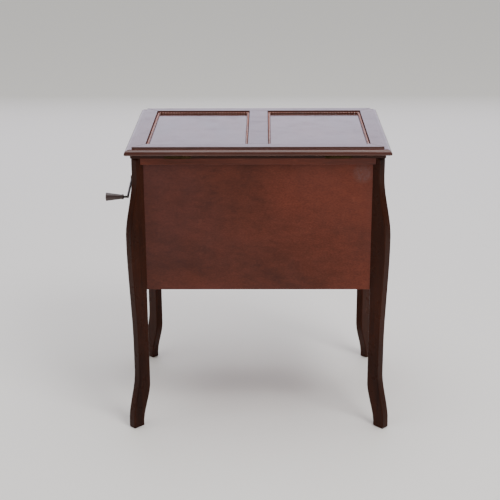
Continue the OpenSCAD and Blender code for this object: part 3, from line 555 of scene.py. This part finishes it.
def add_screw(bm, place, normal, radius):
    """A countersunk wood screw's head: a low dome with a slot"""
    part = bmesh.new()
    bmesh.ops.create_circle(part, cap_ends=True, segments=14, radius=radius)
    top = bmesh.ops.extrude_face_region(part, geom=part.faces[:])
    lifted = [v for v in top["geom"] if isinstance(v, bmesh.types.BMVert)]
    bmesh.ops.translate(part, vec=(0, 0, radius * 0.18), verts=lifted)
    bmesh.ops.scale(part, vec=(0.82, 0.82, 1), verts=lifted)
    bmesh.ops.bisect_plane(part, geom=part.verts[:] + part.edges[:] + part.faces[:],
                           plane_co=(0, radius * 0.12, 0), plane_no=(0, 1, 0))
    bmesh.ops.bisect_plane(part, geom=part.verts[:] + part.edges[:] + part.faces[:],
                           plane_co=(0, -radius * 0.12, 0), plane_no=(0, 1, 0))
    slot = [f for f in part.faces if f.normal.z > 0.9 and abs(f.calc_center_median().y) < radius * 0.1]
    sunk = bmesh.ops.extrude_face_region(part, geom=slot)
    bmesh.ops.delete(part, geom=slot, context="FACES")
    bmesh.ops.translate(part, vec=(0, 0, -radius * 0.14),
                        verts=[v for v in sunk["geom"] if isinstance(v, bmesh.types.BMVert)])
    bmesh.ops.recalc_face_normals(part, faces=part.faces)
    turn = Vector(normal).to_track_quat("Z", "Y").to_matrix().to_4x4()
    bmesh.ops.transform(part, matrix=Matrix.Translation(place) @ turn, verts=part.verts)
    join_into(bm, part)


# ---------------------------------------------------------------- pieces


class CABINET_OT_finishes(bpy.types.Operator):
    """Makes the finishes and gives every CAD node one"""

    bl_idname = "cabinet.finishes"
    bl_label = "Finishes"

    def execute(self, context):
        make_materials(context.scene.cabinet_looks)
        plain = {
            "leg_wood": ("leg_back_left", "leg_back_right", "leg_front_left", "leg_front_right"),
            "rail_wood": ("frieze_moulding", "front_top_rail", "front_bottom_rail"),
            "shadow_wood": ("cornice_frame",),
            "back_veneer": ("back_panel",),
            "side_veneer": ("side_panel_left", "side_panel_right"),
            "lid_wood_x": ("lid_rails",),
            "lid_wood_y": ("lid_stiles", "lid_muntin"),
            "lid_veneer": ("lid_panels",),
            "bead_highlight_wood": ("lid_beading",),
            "stile_wood": ("door_left_frame", "door_right_frame", "door_left_panel", "door_right_panel",
                           "horn_grille"),
            "cross_wood": ("deck_board", "tray_runners", "centre_partition"),
            "board_x": ("case_floor", "well_floor", "sliding_tray"),
            "board_y": ("record_dividers", "horn"),
            "dark_brass": ("post_hinge_leaves", "door_left_leaves", "door_right_leaves"),
            "shade_dark_bronze": ("lid_hinge_leaves", "case_hinge_leaves"),
            "brass": ("lid_stay", "stay_guide", "door_left_knob", "door_right_knob", "winding_gear",
                      "governor", "crank_escutcheon", "lever_posts"),
            "nickel": ("turntable_spindle", "tonearm_base", "tonearm", "arm_rest", "sound_box", "needle",
                       "needle_cups", "deck_screws"),
            "worn_nickel": ("turntable_platter", "winding_shaft", "brake_lever", "speed_lever"),
            "spring_steel": ("spring_barrel",),
            "iron": ("motor_frame", "crank_rod"),
            "felt": ("turntable_felt",),
            "grip_wood": ("crank_grip",),
            "grille_cloth": ("grille_cloth",),
        }
        for material, nodes in plain.items():
            paint_node(material, *nodes)
        return {"FINISHED"}


class CABINET_OT_casework(bpy.types.Operator):
    """Legs, panels, rails and mouldings with rounded arrises"""

    bl_idname = "cabinet.casework"
    bl_label = "Casework"

    def execute(self, context):
        edge = context.scene.cabinet_looks.wood.edge_round
        for corner in ("back_left", "back_right", "front_left", "front_right"):
            softened_node("leg_" + corner, "leg_wood", edge * 2.6)
        softened_node("back_panel", "back_veneer", edge * 0.7)
        softened_node("side_panel_left", "side_veneer", edge * 0.7)
        softened_node("side_panel_right", "side_veneer", edge * 0.7)
        softened_node("front_top_rail", "rail_wood", edge)
        softened_node("front_bottom_rail", "rail_wood", edge)
        softened_node("frieze_moulding", "rail_wood", edge * 1.4)
        # The cornice frame under the lid's lip takes the dark painted-shade finish.
        softened_node("cornice_frame", "shadow_wood", edge)
        softened_node("centre_partition", "cross_wood", edge)
        return {"FINISHED"}


def bead_row(bm, start, end, pitch, radius):
    """A row of half-round beads between two points"""
    start, end = Vector(start), Vector(end)
    count = max(1, round((end - start).length / pitch))
    for i in range(count):
        part = bmesh.new()
        bmesh.ops.create_icosphere(part, subdivisions=2, radius=radius)
        bmesh.ops.translate(part, vec=start.lerp(end, (i + 0.5) / count), verts=part.verts)
        join_into(bm, part)


class CABINET_OT_lid(bpy.types.Operator):
    """The lid's frame, sunk panels and beaded strips"""

    bl_idname = "cabinet.lid"
    bl_label = "Lid"

    def execute(self, context):
        wood = context.scene.cabinet_looks.wood
        softened_node("lid_rails", "lid_wood_x", wood.edge_round * 0.8)
        softened_node("lid_stiles", "lid_wood_y", wood.edge_round * 0.8)
        softened_node("lid_muntin", "lid_wood_y", wood.edge_round * 0.8)
        softened_node("lid_panels", "lid_veneer", wood.edge_round * 0.3)
        self.beading(wood)
        return {"FINISHED"}

    def beading(self, wood):
        low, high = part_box("lid_beading")
        muntin_low, muntin_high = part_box("lid_muntin")
        beads, strips = bmesh.new(), bmesh.new()
        radius = wood.bead_pitch * 0.47
        for x0, x1 in ((low.x, muntin_low.x), (muntin_high.x, high.x)):
            inset = BEAD_STRIP / 2
            corners = [(x0 + inset, low.y + inset), (x1 - inset, low.y + inset),
                       (x1 - inset, high.y - inset), (x0 + inset, high.y - inset)]
            for a, b in zip(corners, corners[1:] + corners[:1]):
                z = high.z - radius
                bead_row(beads, (*a, z), (*b, z), wood.bead_pitch, radius)
            self.strip(strips, x0, x1, low, high, high.z - radius)
        # The beads take the lighter finish with the painted highlight.
        make_piece("lid_beads", beads, "bead_highlight_wood", "lid", ("lid_beading",), sharp=60)
        # The sunk strips round the beads take the dark painted-shade finish.
        make_piece("lid_bead_strips", strips, "shadow_wood", "lid")

    def strip(self, bm, x0, x1, low, high, base):
        """The sunk strip that the beads stand in, with a thin fillet along its inner side"""
        width = BEAD_STRIP
        for lo, hi in (((x0, low.y), (x1, low.y + width)), ((x0, high.y - width), (x1, high.y)),
                       ((x0, low.y + width), (x0 + width, high.y - width)),
                       ((x1 - width, low.y + width), (x1, high.y - width))):
            add_block(bm, (*lo, low.z), (*hi, base - 0.6 * MM))
        inset = width - BEAD_FILLET
        left, near, right, far = x0 + inset, low.y + inset, x1 - inset, high.y - inset
        for lo, hi in (((left, near), (right, near + BEAD_FILLET)), ((left, far - BEAD_FILLET), (right, far)),
                       ((left, near), (left + BEAD_FILLET, far)),
                       ((right - BEAD_FILLET, near), (right, far))):
            add_block(bm, (*lo, low.z), (*hi, base + 0.8 * MM), 0.25 * MM, 1)


class CABINET_OT_doors(bpy.types.Operator):
    """Door frames with a mitred moulding round a raised panel"""

    bl_idname = "cabinet.doors"
    bl_label = "Doors"

    def execute(self, context):
        edge = context.scene.cabinet_looks.wood.edge_round
        for side in ("left", "right"):
            softened_node(f"door_{side}_frame", "stile_wood", edge)
            self.panel(side)
            self.moulding(side)
            self.key_plate(side)
        return {"FINISHED"}

    def panel(self, side):
        """Fielded panel: a flat field raised above bevelled margins"""
        node = f"door_{side}_panel"
        low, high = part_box(node)
        bm = bmesh.new()
        add_block(bm, low, high)
        front = [f for f in bm.faces if f.normal.y > 0.9]
        bmesh.ops.inset_region(bm, faces=front, thickness=DOOR_MARGIN)
        middle = (low + high) / 2
        field = [f for f in bm.faces if f.normal.y > 0.9
                 and (f.calc_center_median() - middle).xz.length < 1 * MM]
        bmesh.ops.translate(bm, vec=(0, FIELD_RISE, 0), verts=list({v for f in field for v in f.verts}))
        make_piece(node + "_field", bm, "stile_wood", "door_" + side, (node,))

    def moulding(self, side):
        """Rounded strips along the edge of the opening"""
        low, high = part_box(f"door_{side}_panel")
        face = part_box(f"door_{side}_frame")[1].y
        bm = bmesh.new()
        for axis, at in (("x", low.z), ("x", high.z), ("z", low.x), ("z", high.x)):
            start = Vector((low.x, high.y, at)) if axis == "x" else Vector((at, high.y, low.z))
            end = Vector((high.x, high.y, at)) if axis == "x" else Vector((at, high.y, high.z))
            inward = 1 if at in (low.z, low.x) else -1
            across = Vector((0, 0, 1)) if axis == "x" else Vector((1, 0, 0))
            shift = across * inward * DOOR_MOULDING
            lo = Vector(map(min, start, start + shift, end + shift))
            hi = Vector(map(max, end, start + shift, end + shift))
            hi.y = min(face - 0.5 * MM, high.y + 3.4 * MM)
            add_block(bm, lo, hi, 1.3 * MM, 3)
        make_piece(f"door_{side}_moulding", bm, "shadow_wood", "door_" + side)

    def key_plate(self, side):
        """A small brass rose under the knob"""
        low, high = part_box(f"door_{side}_knob")
        bm = bmesh.new()
        add_turned(bm, [(0.0, 1.6 * MM), (8.6 * MM, 1.4 * MM), (9.6 * MM, 0.9 * MM), (10.2 * MM, 0.0)],
                   Vector(((low.x + high.x) / 2, low.y, (low.z + high.z) / 2)), "Y", 32)
        make_piece(f"door_{side}_rose", bm, "brass", "door_" + side)


class CABINET_OT_fittings(bpy.types.Operator):
    """Screw heads on the hinges and on the crank's plate, and a ferrule on the grip"""

    bl_idname = "cabinet.fittings"
    bl_label = "Fittings"

    def execute(self, context):
        self.door_screws()
        self.escutcheon_screws()
        self.ferrule()
        return {"FINISHED"}

    def door_screws(self):
        for side, sign in (("left", -1), ("right", 1)):
            low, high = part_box(f"door_{side}_leaves")
            inner_x = low.x if sign > 0 else high.x
            bm = bmesh.new()
            for z0 in (low.z, high.z - HINGE_LEAF_LENGTH):
                for up, inward in ((7, 3.5), (20, 6.5), (33, 3.5)):
                    place = (inner_x + sign * inward * MM, low.y + 1.2 * MM, z0 + up * MM)
                    add_screw(bm, place, (0, 1, 0), 1.9 * MM)
            make_piece(f"door_{side}_hinge_screws", bm, "brass", "door_" + side)

    def escutcheon_screws(self):
        low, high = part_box("crank_escutcheon")
        y, z = (low.y + high.y) / 2, (low.z + high.z) / 2
        bm = bmesh.new()
        r = ESCUTCHEON_SCREW_CIRCLE
        for turn in SCREW_TURNS:
            a = math.radians(turn)
            add_screw(bm, (low.x, y + r * math.cos(a), z + r * math.sin(a)), (-1, 0, 0), 1.7 * MM)
        make_piece("escutcheon_screws", bm, "brass", "case")

    def ferrule(self):
        """Dark ferrule at the neck of the grip"""
        low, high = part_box("crank_grip")
        y, z = (low.y + high.y) / 2, (low.z + high.z) / 2
        bm = bmesh.new()
        profile = [(4.3 * MM, 0.1 * MM), (6.0 * MM, 0.4 * MM), (6.1 * MM, 3.9 * MM), (5.3 * MM, 4.6 * MM)]
        add_turned(bm, profile, Vector((high.x - 4.7 * MM, y, z)), "X", 40)
        make_piece("grip_ferrule", bm, "iron", "grip")


class CABINET_OT_deck(bpy.types.Operator):
    """Deck board, rim studs of the turntable, sound box face and the speed scale"""

    bl_idname = "cabinet.deck"
    bl_label = "Record deck"

    def execute(self, context):
        looks = context.scene.cabinet_looks
        softened_node("deck_board", "cross_wood", looks.wood.edge_round * 0.6)
        self.rim_studs(looks.metal.strobe_dots)
        self.sound_box_face()
        self.spare_needles()
        self.speed_scale()
        return {"FINISHED"}

    def rim_studs(self, count):
        low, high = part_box("turntable_platter")
        centre = (low + high) / 2
        radius = (high.x - low.x) / 2
        bm = bmesh.new()
        for i in range(count):
            a = math.tau * i / count
            part = bmesh.new()
            bmesh.ops.create_icosphere(part, subdivisions=1, radius=1.1 * MM)
            place = centre + Vector((math.cos(a), math.sin(a), 0)) * (radius - 0.7 * MM)
            bmesh.ops.translate(part, vec=place, verts=part.verts)
            join_into(bm, part)
        make_piece("platter_rim_studs", bm, "brass", "turntable")

    def sound_box_face(self):
        """Pressed diaphragm behind a ring, with three screws"""
        low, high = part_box("sound_box")
        x, z, r = (low.x + high.x) / 2, (low.z + high.z) / 2, (high.x - low.x) / 2
        y = low.y + 1.2 * MM
        bm = bmesh.new()
        rings = [((3.2 + i * 1.4) * MM, (0.9 if i % 2 else 0.3) * MM) for i in range(1, 8)]
        profile = [(3.2 * MM, 0.9 * MM)] + rings
        part = bmesh.new()
        add_turned(part, profile, Vector((0, 0, 0)), "Z", 48)
        turn = Matrix.Translation((x, y + 1.3 * MM, z)) @ Matrix.Rotation(math.pi / 2, 4, "X")
        bmesh.ops.transform(part, matrix=turn, verts=part.verts)
        bmesh.ops.solidify(part, geom=part.faces[:], thickness=0.2 * MM)
        join_into(bm, part)
        make_piece("sound_box_diaphragm", bm, "diaphragm", "sound_box")
        bm = bmesh.new()
        for turn in SCREW_TURNS:
            a = math.radians(turn)
            add_screw(bm, (x + (r - 3 * MM) * math.cos(a), low.y, z + (r - 3 * MM) * math.sin(a)),
                      (0, -1, 0), 1.0 * MM)
        make_piece("sound_box_screws", bm, "brass", "sound_box")

    def spare_needles(self):
        """A few steel needles lying in the cups"""
        low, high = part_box("needle_cups")
        bm = bmesh.new()
        for cup in (0, 1):
            y = low.y + 15 * MM if cup == 0 else high.y - 15 * MM
            x = (low.x + high.x) / 2
            for i in range(NEEDLES_PER_CUP):
                part = bmesh.new()
                bmesh.ops.create_cone(part, cap_ends=True, segments=6, radius1=0.55 * MM, radius2=0.12 * MM,
                                      depth=NEEDLE_LENGTH)
                spin = Matrix.Rotation(0.7 * i + cup, 4, "Z") @ Matrix.Rotation(math.pi / 2, 4, "Y")
                place = Vector((x + math.sin(i * 2.1) * 3 * MM, y + math.cos(i * 1.7) * 3 * MM,
                                low.z + (2.3 + 0.25 * (i % 4)) * MM))
                bmesh.ops.transform(part, matrix=Matrix.Translation(place) @ spin, verts=part.verts)
                join_into(bm, part)
        make_piece("spare_needles", bm, "spring_steel", "case")

    def speed_scale(self):
        """Thin raised ticks round the speed lever"""
        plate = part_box("lever_posts")
        centre = Vector((plate[0].x + 12 * MM, plate[1].y - 12 * MM, plate[0].z + 1.2 * MM))
        bm = bmesh.new()
        for i in range(-4, 5):
            a = math.radians(-60 + i * 8)
            part = bmesh.new()
            add_block(part, (8.2 * MM, -0.18 * MM, -0.1 * MM),
                      ((11.0 if i % 2 == 0 else 10.0) * MM, 0.18 * MM, 0.12 * MM))
            bmesh.ops.transform(part, matrix=Matrix.Translation(centre) @ Matrix.Rotation(a, 4, "Z"),
                                verts=part.verts)
            join_into(bm, part)
        make_piece("speed_ticks", bm, "iron", "case")


class CABINET_OT_storage(bpy.types.Operator):
    """Horn front, grille cloth, boards of the well and the lined tray"""

    bl_idname = "cabinet.storage"
    bl_label = "Horn and storage"

    def execute(self, context):
        edge = context.scene.cabinet_looks.wood.edge_round
        softened_node("horn_grille", "stile_wood", edge * 0.8)
        for node in ("case_floor", "well_floor"):
            softened_node(node, "board_x", edge * 0.6)
        for node in ("record_dividers", "tray_runners"):
            softened_node(node, "board_y", edge * 0.8)
        softened_node("sliding_tray", "board_x", edge)
        self.cloth()
        self.tray_lining()
        return {"FINISHED"}

    def cloth(self):
        """Cloth stretched behind the grille, hollowed a little between the slats"""
        low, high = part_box("grille_cloth")
        bm = bmesh.new()
        bmesh.ops.create_grid(bm, x_segments=96, y_segments=24, size=0.5)
        width, height = high.x - low.x, high.z - low.z
        for v in bm.verts:
            u, t = v.co.x + 0.5, v.co.y + 0.5
            belly = math.sin(math.pi * t) * (0.5 + 0.5 * math.cos(math.tau * CLOTH_HOLLOWS * u)) * 0.25 * MM
            v.co = Vector((low.x + width * u, high.y - 0.45 * MM - belly, low.z + height * t))
        bmesh.ops.recalc_face_normals(bm, faces=bm.faces)
        bmesh.ops.solidify(bm, geom=bm.faces[:], thickness=0.3 * MM)
        piece = make_piece("stretched_grille_cloth", bm, "grille_cloth", "case",
                           ("grille_cloth",))

    def tray_lining(self):
        """Thin felt in the two cells of the tray"""
        low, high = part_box("sliding_tray")
        wall, gap = TRAY_WALL, LINING_GAP
        middle = (low.x + high.x) / 2
        bm = bmesh.new()
        for x0, x1 in ((low.x + wall, middle - wall / 2), (middle + wall / 2, high.x - wall)):
            add_block(bm, (x0 + gap, low.y + wall + gap, low.z + wall),
                      (x1 - gap, high.y - wall - gap, low.z + wall + 1.6 * MM), 0.5 * MM)
        make_piece("tray_lining", bm, "tray_felt", "tray")


class CABINET_OT_stage(bpy.types.Operator):
    """Plain floor, soft lights and the camera"""

    bl_idname = "cabinet.stage"
    bl_label = "Stage"

    def execute(self, context):
        stage = context.scene.cabinet_looks.stage
        self.floor(stage)
        self.lights(stage)
        self.camera(context, stage)
        return {"FINISHED"}

    def floor(self, stage):
        bm = bmesh.new()
        bmesh.ops.create_grid(bm, x_segments=1, y_segments=1, size=FLOOR_SIZE)
        bmesh.ops.translate(bm, vec=(0, 0, -0.0003), verts=bm.verts)
        mesh = bpy.data.meshes.new("floor")
        bm.to_mesh(mesh)
        bm.free()
        n = Nodes("floor_paint")
        mesh.materials.append(n.finish(list(stage.floor), 0.6))
        floor = bpy.data.objects.new("floor", mesh)
        bpy.context.scene.collection.objects.link(floor)
        world = bpy.data.worlds.new("room")
        world.use_nodes = True
        background = world.node_tree.nodes["Background"]
        background.inputs["Color"].default_value = (*stage.room, 1)
        background.inputs["Strength"].default_value = stage.room_strength
        bpy.context.scene.world = world

    def lights(self, stage):
        for name, place, size, watts in (
                ("key", (1.5, -1.9, 3.4), 1.3, stage.key_watts),
                ("fill", (-2.6, -1.6, 2.0), 2.2, stage.key_watts * 0.15),
                ("top", (0.2, 0.4, 3.4), 2.6, stage.key_watts * 0.3),
                ("bright_wall", (0.0, 3.6, 1.75), 6.0, stage.wall_watts)):
            data = bpy.data.lights.new(name, "AREA")
            data.shape, data.size, data.energy = "RECTANGLE", size, watts
            data.size_y = 2.3 if name == "bright_wall" else size
            lamp = bpy.data.objects.new(name, data)
            lamp.location = place
            aim = Vector((0, place[1] - 1, place[2])) if name == "bright_wall" else LIGHTS_AIM
            lamp.rotation_euler = (aim - Vector(place)).to_track_quat("-Z", "Y").to_euler()
            if name == "bright_wall":
                data.color = WALL_TINT
            bpy.context.scene.collection.objects.link(lamp)
        sky = bpy.data.lights.new("skylight", "SUN")
        sky.energy, sky.angle = stage.sky_strength, SKY_ANGLE
        bpy.context.scene.collection.objects.link(bpy.data.objects.new("skylight", sky))

    def camera(self, context, stage):
        data = bpy.data.cameras.new("camera")
        data.sensor_width = 36
        data.lens = stage.lens
        camera = bpy.data.objects.new("camera", data)
        low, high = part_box("back_panel")
        camera.location = ((low.x + high.x) / 2 + CAMERA_SHIFT, -stage.distance, stage.eye_height)
        turn = Matrix.Rotation(CAMERA_HEADING, 3, "Z") @ Matrix.Rotation(math.pi / 2 - stage.pitch, 3, "X")
        camera.rotation_euler = (turn @ Matrix.Rotation(-CAMERA_ROLL, 3, "Z")).to_euler()
        context.scene.collection.objects.link(camera)
        context.scene.camera = camera


# ---------------------------------------------------------------- add-on


STEPS = (CABINET_OT_stage, CABINET_OT_finishes, CABINET_OT_casework, CABINET_OT_lid, CABINET_OT_doors,
         CABINET_OT_fittings, CABINET_OT_deck, CABINET_OT_storage)


class CABINET_PT_panel(bpy.types.Panel):
    """Lists the cabinet's settings and steps"""

    bl_idname = "CABINET_PT_panel"
    bl_label = "Console cabinet"
    bl_space_type = "VIEW_3D"
    bl_region_type = "UI"
    bl_category = "Cabinet"

    def draw(self, context):
        looks = context.scene.cabinet_looks
        for group in (looks.wood, looks.metal, looks.stage):
            box = self.layout.box()
            for key in group.__annotations__:
                box.prop(group, key)
        for step in STEPS:
            self.layout.operator(step.bl_idname)


CLASSES = (WoodSettings, MetalSettings, StageSettings, CabinetLooks, *STEPS, CABINET_PT_panel)


def register():
    for cls in CLASSES:
        bpy.utils.register_class(cls)
    bpy.types.Scene.cabinet_looks = PointerProperty(type=CabinetLooks)


def unregister():
    del bpy.types.Scene.cabinet_looks
    for cls in reversed(CLASSES):
        bpy.utils.unregister_class(cls)


def main():
    register()
    for step in STEPS:
        group, name = step.bl_idname.split(".")
        getattr(getattr(bpy.ops, group), name)()


if __name__ == "__main__":
    main()
